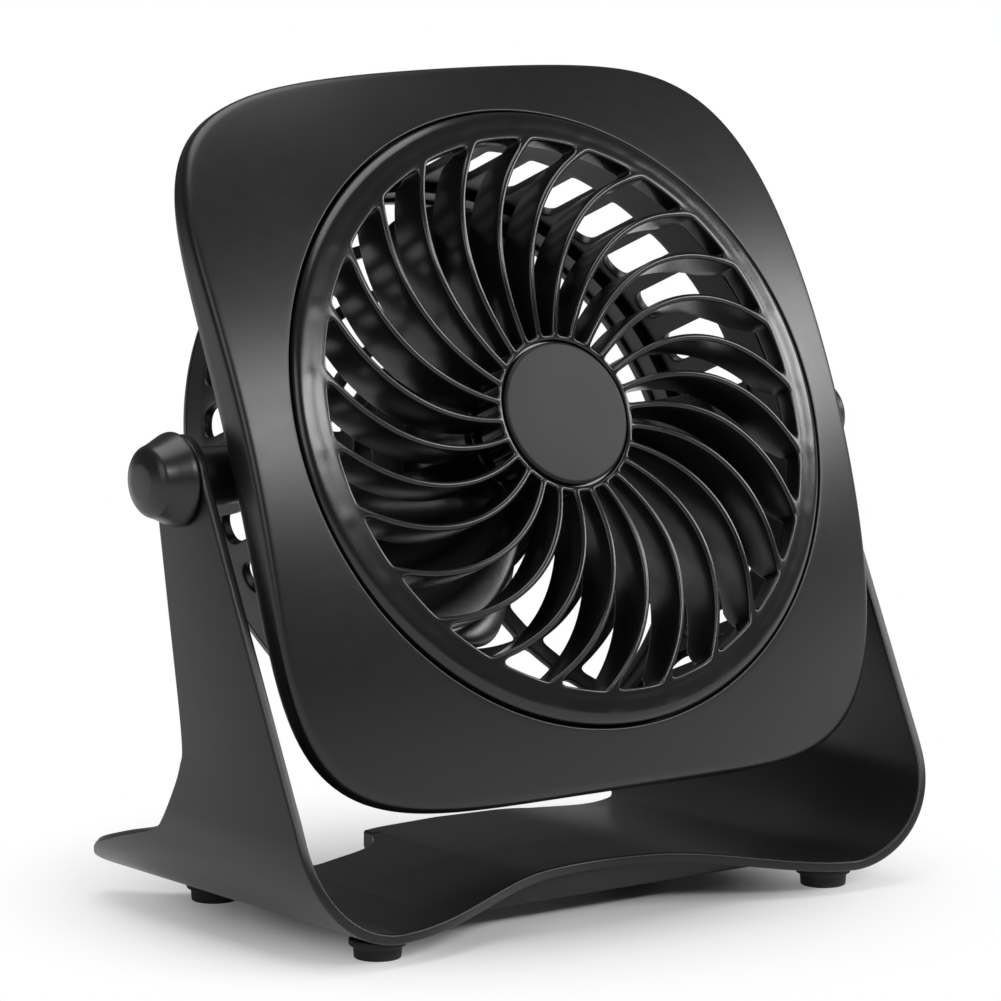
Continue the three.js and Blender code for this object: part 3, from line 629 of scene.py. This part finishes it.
def grille_gloss(place):
    """Smoother tool finish: nearly polished, with a soft flow of the plastic left in the sheen."""
    flow = place.noise(55, 3)
    grain = place.noise(6200, 2)
    return {
        "Base Color": flow.between((0.0038, 0.0038, 0.0042), (0.0058, 0.0058, 0.0062)),
        "Roughness": 0.21 + 0.08 * (flow - 0.5),
        "Normal": (grain + 2.0 * place.noise(240, 1)).bump(0.000009),
    }


grille_black = new_finish("grille_gloss_abs", {"Specular IOR Level": 0.5}, grille_gloss)
make(
    "swirl_grille",
    [grille_window(k) for k in range(VANES)]
    + [round_rows(ring_turns, ring_rows), round_rows(hub_turns, hub_rows), round_rows(hub_turns, hub_back)],
    "head", ["front_grille"], grille_black, 45, 4e-6,
)


# ---------------------------------------------------------------- hub disc
# A plain disc pressed into the hub's recess, with a bevel round it; face and bevel share one satin finish.
def disc_satin(place):
    """Fine blasted face, a little smoother than the bezel."""
    grain = place.noise(7400, 2)
    drift = place.noise(70)
    return {
        "Base Color": drift.between((0.0050, 0.0050, 0.0054), (0.0070, 0.0070, 0.0074)),
        "Roughness": 0.42 + 0.06 * (drift - 0.5),
        "Normal": grain.bump(0.000008),
    }


badge_satin = new_finish("hub_disc_satin", {"Specular IOR Level": 0.25}, disc_satin)
BADGE = np.array([
    (0, 7.46), (6, 7.46), (12.9, 7.46), (13.1, 7.47), (13.25, 7.52), (13.5, 7.76), (13.58, 7.85),
    (13.6, 7.95), (13.6, 8.5), (13.5, 8.6), (0, 8.6),
])


def head_turned(profile, around=144, centre=(0.0, 0.0)):
    """Surface of revolution about the fan's axis, or about a line beside it, in the head's frame."""
    turn = np.linspace(0, 2 * math.pi, around, endpoint=False)[None, :]
    radius, depth = profile[:, 0][:, None], profile[:, 1][:, None]
    x, z = centre[0] + radius * np.cos(turn), centre[1] + radius * np.sin(turn)
    return in_head(np.stack([x, depth + 0 * turn, z], axis=-1))


make("hub_disc", [head_turned(BADGE, 180)], "head", ["hub_badge"], badge_satin, 22)


# ---------------------------------------------------------------- blade wheel
# Three twisted blades on a deep cup that goes over the motor, one moulding in polished black.
BLADE_TIP = 46.5
WHEEL_HUB = 15.5
WHEEL = [
    (0, 17.2), (12.6, 17.2), (14.9, 17.9), (15.5, 19.4), (15.5, 36), (14.3, 36),
    (14.3, 19), (3, 19), (3, 27), (1.3, 27), (1.3, 19.2), (0, 19.2),
]


def blade(index, along=44, across=26):
    """A petal: its half width grows from the root and closes in a round tip, each point's angle runs across it,
    and its depth follows that angle, so the surface is a helix that flattens outward."""
    share = np.linspace(0, 1, along)[:, None]
    radius = (WHEEL_HUB - 0.8) + (BLADE_TIP - WHEEL_HUB + 0.8) * np.sin(share * math.pi / 2)
    round_tip = np.sqrt(np.maximum(0, 1 - np.maximum(0, (share - 0.25) / 0.75) ** 4))
    half_turn = np.radians(30 - 2 * share) * np.maximum(round_tip, 0.04)
    rise = (8.2 - 1.6 * share) * np.maximum(round_tip, 0.04)
    line = np.linspace(-1, 1, across)[None, :]
    camber = 0.9 * (1 - line**2)
    turn = math.radians(-7) + index * 2 * math.pi / 3 + line * half_turn
    depth = 27 + line * rise - camber * round_tip
    thick = 0.7 * np.sqrt(np.maximum(0.02, 1 - line**4)) * np.maximum(round_tip, 0.2) ** 0.3
    sheets = []
    for sign in (-1, 1):
        sheets.append(np.stack([radius * np.sin(turn), depth + sign * thick, radius * np.cos(turn)], axis=-1))
    loop = np.concatenate([sheets[0], sheets[1][:, ::-1]], axis=1)
    return capped(in_head(loop))


def polished_black(place):
    """Polished moulding with faint swirl marks and a film of dust."""
    dust = place.noise(1500, 4)
    flow = place.noise(90, 2)
    return {
        "Base Color": dust.between((0.0034, 0.0034, 0.0038), (0.0070, 0.0070, 0.0075)),
        "Roughness": 0.14 + 0.10 * dust,
        "Normal": flow.bump(0.00004),
    }


wheel_black = new_finish("wheel_polished_abs", {"Specular IOR Level": 0.5}, polished_black)
make(
    "blade_rotor", [head_turned(eased(WHEEL, 0.4), 144)] + [blade(k) for k in range(3)],
    "rotor", ["blade_wheel"], wheel_black, 45,
)


# ---------------------------------------------------------------- rear cover
# Satin ABS moulding: a flange that closes the back of the head, a round wall with a slot between
# every two ribs, and a hollow boss each side that the head turns on.
CAGE, CAGE_BACK, CAGE_WALL, CAGE_CORNER = 58.0, 51.0, 2.0, 3.5
SIDE_START, CAGE_SEAM = 15.2, 47.2
STRAIGHT = CAGE_BACK - CAGE_CORNER - SIDE_START
CURVE = CAGE_CORNER * math.pi / 2
PHASE = math.radians(6.5)


def cage_skin(run, depth):
    """Radius and depth of the basket's section at a run along its outside, from the flange back, round the
    corner arc and in over the back; depth is measured in through the wall."""
    bend = np.clip((run - STRAIGHT) / CAGE_CORNER, 0, math.pi / 2)
    radius = CAGE - CAGE_CORNER + (CAGE_CORNER - depth) * np.cos(bend) - np.maximum(run - STRAIGHT - CURVE, 0)
    back = SIDE_START + np.minimum(run, STRAIGHT) + (CAGE_CORNER - depth) * np.sin(bend)
    return radius, back


def on_cage(turn, run, depth):
    radius, back = cage_skin(run, depth)
    return in_head(np.stack([radius * np.sin(turn), back, radius * np.cos(turn)], axis=-1))


def cage_slot(index, count, seam, hole, rib, ease_low, ease_high, ends=12):
    """One slot of the wall with half a rib round it: a rectangle in angle and run, square in front and with a
    round end behind."""
    pitch = 2 * math.pi / count
    middle = PHASE + (index + 0.5) * pitch
    inner = np.linspace(hole[0] + ease_low, hole[1] - ease_high, 12)
    low = hole[0] + ease_low * np.array([0.3, 0.65])
    high = hole[1] - ease_high * np.array([0.65, 0.3])
    hole_run = np.concatenate([[hole[0]], low, inner, high, [hole[1]]])
    seam_run = hole_run.copy()
    seam_run[0], seam_run[-1] = seam
    across = np.linspace(-1, 1, ends + 1)[1:-1]

    def loop(run, half):
        sides = [np.stack([s * half(run), run], axis=1) for s in (-1, 1)]
        caps = [np.stack([a * half(np.full_like(a, r)), np.full_like(a, r)], axis=1)
                for a, r in ((across, run[-1]), (-across, run[0]))]
        return np.concatenate([sides[0], caps[0], sides[1][::-1], caps[1]])

    border = loop(seam_run, lambda run: cage_skin(run, 0)[0] * pitch / 2)
    sharp = loop(hole_run, lambda run: cage_skin(run, 0)[0] * pitch / 2 - rib / 2)
    n = len(hole_run)
    wide, narrow = ends // 2, ends // 6
    opening = ease_corners(
        sharp, [(0, narrow, 3), (n - 1, 3, wide), (n + ends - 1, wide, 3), (2 * n + ends - 2, 3, narrow)])

    def front(flat, depth):
        return on_cage(middle + flat[:, 0] / cage_skin(flat[:, 1], 0)[0], flat[:, 1], depth)

    def back(flat, depth):
        return front(flat, CAGE_WALL - depth)

    return window(border, opening, front, back, 0.45, 0.3, 4)


def cage_band(runs):
    """Plain end of the round wall: out along its inside, over its edge and back along its outside."""
    turns = PHASE + np.arange(36 * 12) * 2 * math.pi / (36 * 12)
    outside = [on_cage(turns, np.full_like(turns, run), 0.0) for run in runs]
    inside = [on_cage(turns, np.full_like(turns, run), CAGE_WALL) for run in runs]
    return np.stack(inside[::-1] + outside)


SIDE_RIBS, SIDE_RIB_WIDTH = 36, 4.1
SIDE_ROW, SIDE_HOLE = (7.6, 27.4), (8.8, 26.1)
cage = [cage_slot(k, SIDE_RIBS, SIDE_ROW, SIDE_HOLE, SIDE_RIB_WIDTH, 0.6, 2.9) for k in range(SIDE_RIBS)]
cage.append(cage_band(np.linspace(0, SIDE_ROW[0], 4)))
cage.append(cage_band(np.linspace(CAGE_SEAM - SIDE_START, SIDE_ROW[1], 4)))


def flange_rings(around=256):
    """Plate from the basket's mouth out to the rounded square inside the bezel's rim."""
    turn = np.linspace(0, 2 * math.pi, around, endpoint=False)
    inner = np.stack([np.cos(turn), np.sin(turn)], axis=1) * (CAGE - 1)
    outer = square_outline(turn, BEZEL_WALL + 0.3)
    rows = []
    for share, drop in ((0, 1.4), (1, 1.4), (1, 0.25), (0.997, 0.0), (0.66, 0), (0.33, 0), (0, 0), (0, 1.4)):
        flat = inner + (outer - inner) * share
        rows.append(np.stack([flat[:, 0], rim_depth(flat[:, 0], flat[:, 1]) - drop, flat[:, 1]], axis=1))
    return in_head(np.stack(rows))


def boss_pad(sign):
    """Solid pad that fills the slots beside a boss, a bent plate a little proud of the wall on both sides."""
    low, high = 7.4, 28.6
    run = np.linspace(low, high, 22)
    half = 6.6 + 0 * run
    middle = math.pi / 2 * sign
    half = half * np.sqrt(np.clip(1 - ((run - 15.0) / 15.5) ** 4, 0.1, 1))
    section = ((-1, -0.25), (1, -0.25), (1, 2.2), (-1, 2.2))
    corners = np.stack([on_cage(middle + side * half / CAGE, run, depth) for side, depth in section], axis=1)
    return capped(rounded_bar(corners, 0.5))


def side_boss(sign):
    """Hollow round boss on the pivot line."""
    line = eased([(3.8, 12.7), (5.4, 12.7), (5.4, 3.0), (6.4, 0), (3.8, 0), (3.8, 12.7)], 0.4)
    return turned(line, PIVOT + (sign * 56.6, 0, 0), (sign, 0, 0), 72)


seats = [head_turned(eased([(1.5, 17.9), (4.2, 17.9), (4, 20.2), (1.5, 20.2), (1.5, 17.9)], 0.25), 48, (x, z))
         for x in (-50, 50) for z in (-50, 50)]
cover_satin = new_finish(
    "cover_satin_abs",
    {"Specular IOR Level": 0.45},
    tool_satin((0.0043, 0.0043, 0.0048), (0.0063, 0.0063, 0.0068), 0.40, 0.000014),
)
make("basket", cage, "head", ["rear_cover"], cover_satin, 40, 4e-6)
make(
    "basket_flange", [flange_rings(), boss_pad(-1), boss_pad(1), side_boss(-1), side_boss(1), *seats],
    "head", ["rear_cover"], cover_satin, 40,
)


# ---------------------------------------------------------------- rear guard
# Satin ABS disc that clips into the end of the round wall: swept ribs cross three rings, a cup in
# the middle holds the motor and a round recess behind it takes the board.
GUARD_RIBS, GUARD_RIB_HALF = 6, 1.6
GUARD_STEP = 2 * math.pi / GUARD_RIBS
GUARD_INNER, GUARD_OUTER = 22.2, 54.2


def rib_turn(radius):
    """Angle of a rib's middle line: it swings back evenly as it runs outward."""
    return math.radians(162) - math.radians(0.67) * (radius - 36)


def guard_slot(index, seam, hole, ease):
    """One opening with half of each rib and ring round it: two swept sides and two arcs, corners eased."""
    steps = np.array([0, 0.3, 0.65, 1.0]) * ease
    middle = np.linspace(hole[0] + ease, hole[1] - ease, 6)[1:-1]
    hole_line = np.concatenate([hole[0] + steps, middle, hole[1] - steps[::-1]])
    seam_line = hole_line.copy()
    seam_line[0], seam_line[-1] = seam
    share = np.arange(1, 60) / 60

    def loop(line, aside):
        start = rib_turn(line) + index * GUARD_STEP
        off = aside / line
        one, two = polar(line, start + off), polar(line, start + GUARD_STEP - off)
        arcs = [polar(line[k], start[k] + off[k] + (GUARD_STEP - 2 * off[k]) * share) for k in (-1, 0)]
        return np.concatenate([one, arcs[0], two[::-1], arcs[1][::-1]])

    border, sharp = loop(seam_line, 0.0), loop(hole_line, GUARD_RIB_HALF)
    n = len(hole_line)
    near, far = [max(1, round(math.degrees(ease / radius))) for radius in hole]
    opening = ease_corners(sharp, [(0, near, 3), (n - 1, 3, far), (n + 59, far, 3), (2 * n + 58, 3, near)])

    def front(flat, depth):
        return in_head(np.stack([flat[:, 0], CAGE_BACK - depth + 0 * flat[:, 0], flat[:, 1]], axis=1))

    def back(flat, depth):
        return front(flat, CAGE_WALL - depth)

    return window(border, opening, front, back, 0.45, 0.3, 4)


def guard_turned(line, radius):
    """Surface of revolution whose points line up with the ribs at a radius."""
    turns = rib_turn(radius) + np.arange(360) * math.pi / 180
    return in_head(np.stack([
        np.stack([reach * np.sin(turns), depth + 0 * turns, reach * np.cos(turns)], axis=1) for reach, depth in line
    ]))


GUARD_ROWS = (
    ((22.2, 27.0), (22.8, 25.8), 1.2), ((27.0, 36.0), (28.2, 34.8), 1.5),
    ((36.0, 45.0), (37.2, 43.8), 1.6), ((45.0, 54.2), (46.2, 53.6), 1.7),
)
guard = [guard_slot(k, *row) for row in GUARD_ROWS for k in range(GUARD_RIBS)]
bend = np.linspace(math.pi / 2, 0, 9)
RIM, SPIGOT, SPIGOT_FRONT = CAGE_SEAM + 0.3, (54.3, 55.7), 44.5
rim_radius, rim_depths = CAGE - CAGE_CORNER * (1 - np.cos(bend)), RIM + CAGE_CORNER * np.sin(bend)
guard_rim = [(GUARD_OUTER, CAGE_BACK), *zip(rim_radius, rim_depths), (SPIGOT[1], RIM)]
guard_rim += [(SPIGOT[1], SPIGOT_FRONT + 0.2), (SPIGOT[1] - 0.2, SPIGOT_FRONT), (SPIGOT[0] + 0.2, SPIGOT_FRONT)]
guard_rim += [(SPIGOT[0], SPIGOT_FRONT + 0.2), (SPIGOT[0], CAGE_BACK - CAGE_WALL), (GUARD_OUTER, CAGE_BACK - CAGE_WALL)]
guard.append(guard_turned(guard_rim, GUARD_OUTER))
POD_BACK = 44.6
pod_line = eased([
    (22.2, 51), (19, 51), (19, POD_BACK), (12.4, POD_BACK), (12.4, 29.6), (8.6, 29.6), (8.6, 28.2), (13.7, 28.2),
    (13.7, 43.1), (20.4, 43.1), (20.4, 49), (22.2, 49),
], 0.35)
guard.append(guard_turned(pod_line, GUARD_INNER))
make("guard", guard, "head", ["rear_guard"], cover_satin, 40, 4e-6)


# ---------------------------------------------------------------- screws
# Pan-head steel screws with a cross recess: four hold the rear cover, two the round cap.
def cross_screw(radius, height, shank, length, centre, back):
    """Head whose depth is a low dome by radius, with two crossed troughs sunk in its middle; a plain shank in
    front. The head's top faces back."""
    turn = np.linspace(0, 2 * math.pi, 96, endpoint=False)[None, :]
    reach = np.linspace(0, 1, 34)[:, None] * radius
    x, z = reach * np.cos(turn), reach * np.sin(turn)
    top = height * (1 - 0.35 * (reach / radius) ** 2 - 0.65 * np.clip((reach / radius - 0.8) / 0.2, 0, 1) ** 2)
    arm = np.minimum(np.abs(x), np.abs(z)) / radius
    sunk = np.clip((0.15 - arm) / 0.05, 0, 1) * np.clip((0.62 - reach / radius) / 0.08, 0, 1)
    cap = np.stack([centre[0] + x, back + top - 0.62 * height * sunk, centre[1] + z], axis=-1)
    under = [(radius, 0.0), (shank, 0.0), (shank, -length), (0, -length)]
    tail = np.stack([
        np.stack([centre[0] + r * np.cos(turn[0]), back + d + 0 * turn[0], centre[1] + r * np.sin(turn[0])], axis=-1)
        for r, d in under
    ])
    return in_head(np.concatenate([cap, tail]))


for high, z in (("top", 50), ("bottom", -50)):
    for wide, x in (("left", -50), ("right", 50)):
        make(f"pan_screw_{high}_{wide}", [cross_screw(2.6, 1.6, 1.2, 5.6, (x, z), 20.5)], "head",
             [f"cover_screw_{high}_{wide}"], zinc_plate, 30)
for wide, x in (("left", -14), ("right", 14)):
    make(f"cap_pan_screw_{wide}", [cross_screw(2.1, 1.2, 0.9, 8.2, (x, 0), 52.3)], "head",
         [f"cap_screw_{wide}"], zinc_plate, 30)


# ---------------------------------------------------------------- motor
# Small can motor in the cup: drawn steel can, two ferrite magnets, laminated core, brushes' cap.
def ferrite(place):
    """Grey sintered ferrite with a rough, sparkling surface."""
    grit = place.noise(3800, 5)
    return {
        "Base Color": grit.between((0.018, 0.018, 0.020), (0.055, 0.055, 0.058)),
        "Roughness": 0.6 + 0.2 * grit,
        "Normal": grit.bump(0.00003),
    }


def laminations(place):
    """Stack of thin steel sheets across the fan's axis."""
    leaned = place.node("ShaderNodeMapping", {}, {"Vector": place, "Rotation": (TILT, 0.0, 0.0)})
    layers = leaned.node("ShaderNodeTexWave", {"bands_direction": "Y"}, {"Vector": leaned, "Scale": 650.0})
    return {
        "Base Color": layers.between((0.20, 0.20, 0.21), (0.42, 0.42, 0.43)),
        "Roughness": 0.35 + 0.15 * layers,
        "Normal": layers.bump(0.00004),
    }


magnet_grey = new_finish("sintered_ferrite", {"Specular IOR Level": 0.4}, ferrite)
core_steel = new_finish("laminated_core", {"Metallic": 1.0}, laminations)
dress(["magnet_left", "magnet_right"], magnet_grey)
dress(["armature_core"], core_steel)
dress(["motor_shaft", "motor_can", "motor_screw_left", "motor_screw_right"], zinc_plate)
dress(["bush_front", "bush_rear", "commutator"], brass)
dress(["motor_end_cap"], black_nylon)


# ---------------------------------------------------------------- controls
# Round board behind the motor with a switch and a small power socket, closed by a satin cap
# with a hole for the push button.
def solder_mask(place):
    """Green lacquer over copper tracks: faint lines under the gloss."""
    tracks = place.node("ShaderNodeTexVoronoi", {"feature": "DISTANCE_TO_EDGE"}, {"Vector": place, "Scale": 420.0})
    edge = tracks.node("ShaderNodeValToRGB", {"stops": ((0.04, 1.0), (0.09, 0.0))}, {"Fac": tracks})
    return {
        "Base Color": edge.between((0.010, 0.070, 0.028), (0.030, 0.150, 0.055)),
        "Roughness": 0.28 + 0.1 * place.noise(900),
        "Normal": edge.bump(0.00002),
    }


board_green = new_finish("solder_mask", {"Specular IOR Level": 0.5}, solder_mask)
dress(["circuit_board"], board_green)
dress(["button_switch", "power_inlet"], zinc_plate)
dress(["rear_cap"], cover_satin)
BUTTON = [(0, 49.4), (5.4, 49.4), (5.4, 50.2), (4.4, 50.2), (4.4, 52.5), (3.7, 53.0), (3.2, 52.75), (0, 52.6)]
make(
    "push_button", [head_turned(eased(BUTTON, 0.25), 96, (0.0, 7.5))],
    "button", ["power_button"], knob_satin, 40,
)


# ---------------------------------------------------------------- table, light and camera
# A plain pale table top, soft lamps in front and above, and the camera a metre away.
def table_top():
    """Matt white sheet that keeps the shadow close to the fan and fades into plain white round it."""
    bpy.ops.mesh.primitive_plane_add(size=8)
    table = bpy.context.object
    table.name = "table"
    material = bpy.data.materials.new("table_white")
    material.use_nodes = True
    tree = material.node_tree
    matt = tree.nodes["Principled BSDF"]
    matt.inputs["Base Color"].default_value = (0.94, 0.94, 0.94, 1)
    matt.inputs["Roughness"].default_value = 0.32
    matt.inputs["Specular IOR Level"].default_value = 0.3
    place = Wire(tree, tree.nodes.new("ShaderNodeTexCoord").outputs["Object"])
    reach = place.node("ShaderNodeVectorMath", {"operation": "LENGTH"}, {0: place}, 1)
    fade = reach.node(
        "ShaderNodeMapRange", {"interpolation_type": "SMOOTHSTEP"}, {0: reach, 1: 0.04, 2: 0.105, 3: 0.0, 4: 1.0})
    path = tree.nodes.new("ShaderNodeLightPath")
    seen = Wire(tree, path.outputs["Is Camera Ray"]) + Wire(tree, path.outputs["Is Glossy Ray"])
    seen = seen + Wire(tree, path.outputs["Is Transmission Ray"])
    white = tree.nodes.new("ShaderNodeEmission")
    blend = tree.nodes.new("ShaderNodeMixShader")
    tree.links.new((seen * fade).socket, blend.inputs[0])
    tree.links.new(matt.outputs[0], blend.inputs[1])
    tree.links.new(white.outputs[0], blend.inputs[2])
    tree.links.new(blend.outputs[0], tree.nodes["Material Output"].inputs["Surface"])
    table.data.materials.append(material)


def soft_lamp(name, where, width, height, power, aim=(0, 0, 0.08)):
    """Rectangular soft lamp, turned so that it faces the aim."""
    lamp = bpy.data.lights.new(name, "AREA")
    lamp.shape = "RECTANGLE"
    lamp.size, lamp.size_y, lamp.energy = width, height, power
    holder = bpy.data.objects.new(name, lamp)
    bpy.context.scene.collection.objects.link(holder)
    forward = np.array(aim, dtype=float) - np.array(where)
    forward = forward / np.linalg.norm(forward)
    right = np.cross(forward, (0, 0, 1))
    right = right / np.linalg.norm(right)
    up = np.cross(right, forward)
    turn = np.eye(4)
    turn[:3, 0], turn[:3, 1], turn[:3, 2], turn[:3, 3] = right, up, -forward, where
    holder.matrix_world = Matrix(turn.tolist())


table_top()
soft_lamp("front_right", (1.5, -1.3, 1.1), 1.1, 0.6, 20)
soft_lamp("front", (0.0, -2.0, 1.45), 1.2, 0.4, 22)
soft_lamp("right", (2.0, -0.45, 0.75), 0.7, 0.4, 8)
soft_lamp("front_left", (-1.7, -0.6, 0.9), 0.9, 1.1, 7)
soft_lamp("overhead", (0.0, 0.3, 2.0), 1.6, 1.6, 26)

world = bpy.data.worlds.new("studio")
world.use_nodes = True
bpy.context.scene.world = world
sky = world.node_tree
air = sky.nodes["Background"]
air.inputs["Strength"].default_value = 0.13
path = sky.nodes.new("ShaderNodeLightPath")
plain = sky.nodes.new("ShaderNodeBackground")
either = sky.nodes.new("ShaderNodeMixShader")
air.inputs["Color"].default_value = (1, 1, 1, 1)
sky.links.new(path.outputs["Is Camera Ray"], either.inputs[0])
sky.links.new(air.outputs[0], either.inputs[1])
sky.links.new(plain.outputs[0], either.inputs[2])
plain.inputs["Color"].default_value = (1, 1, 1, 1)
sky.links.new(either.outputs[0], sky.nodes["World Output"].inputs["Surface"])

camera = bpy.data.cameras.new("camera")
camera.lens = 198.56
camera.sensor_width = 36
camera.clip_end = 50
tripod = bpy.data.objects.new("camera", camera)
bpy.context.scene.collection.objects.link(tripod)
CAMERA_AT = (-0.611116, -0.826910, 0.224445)
LOOK = np.array([0.588506, 0.795494, -0.144396])
look_right = np.cross(LOOK, (0, 0, 1))
look_right = look_right / np.linalg.norm(look_right)
turn = np.eye(4)
turn[:3, 0], turn[:3, 1], turn[:3, 2], turn[:3, 3] = look_right, np.cross(look_right, LOOK), -LOOK, CAMERA_AT
tripod.matrix_world = Matrix(turn.tolist())
bpy.context.scene.camera = tripod
bpy.context.scene.view_settings.view_transform = "Standard"
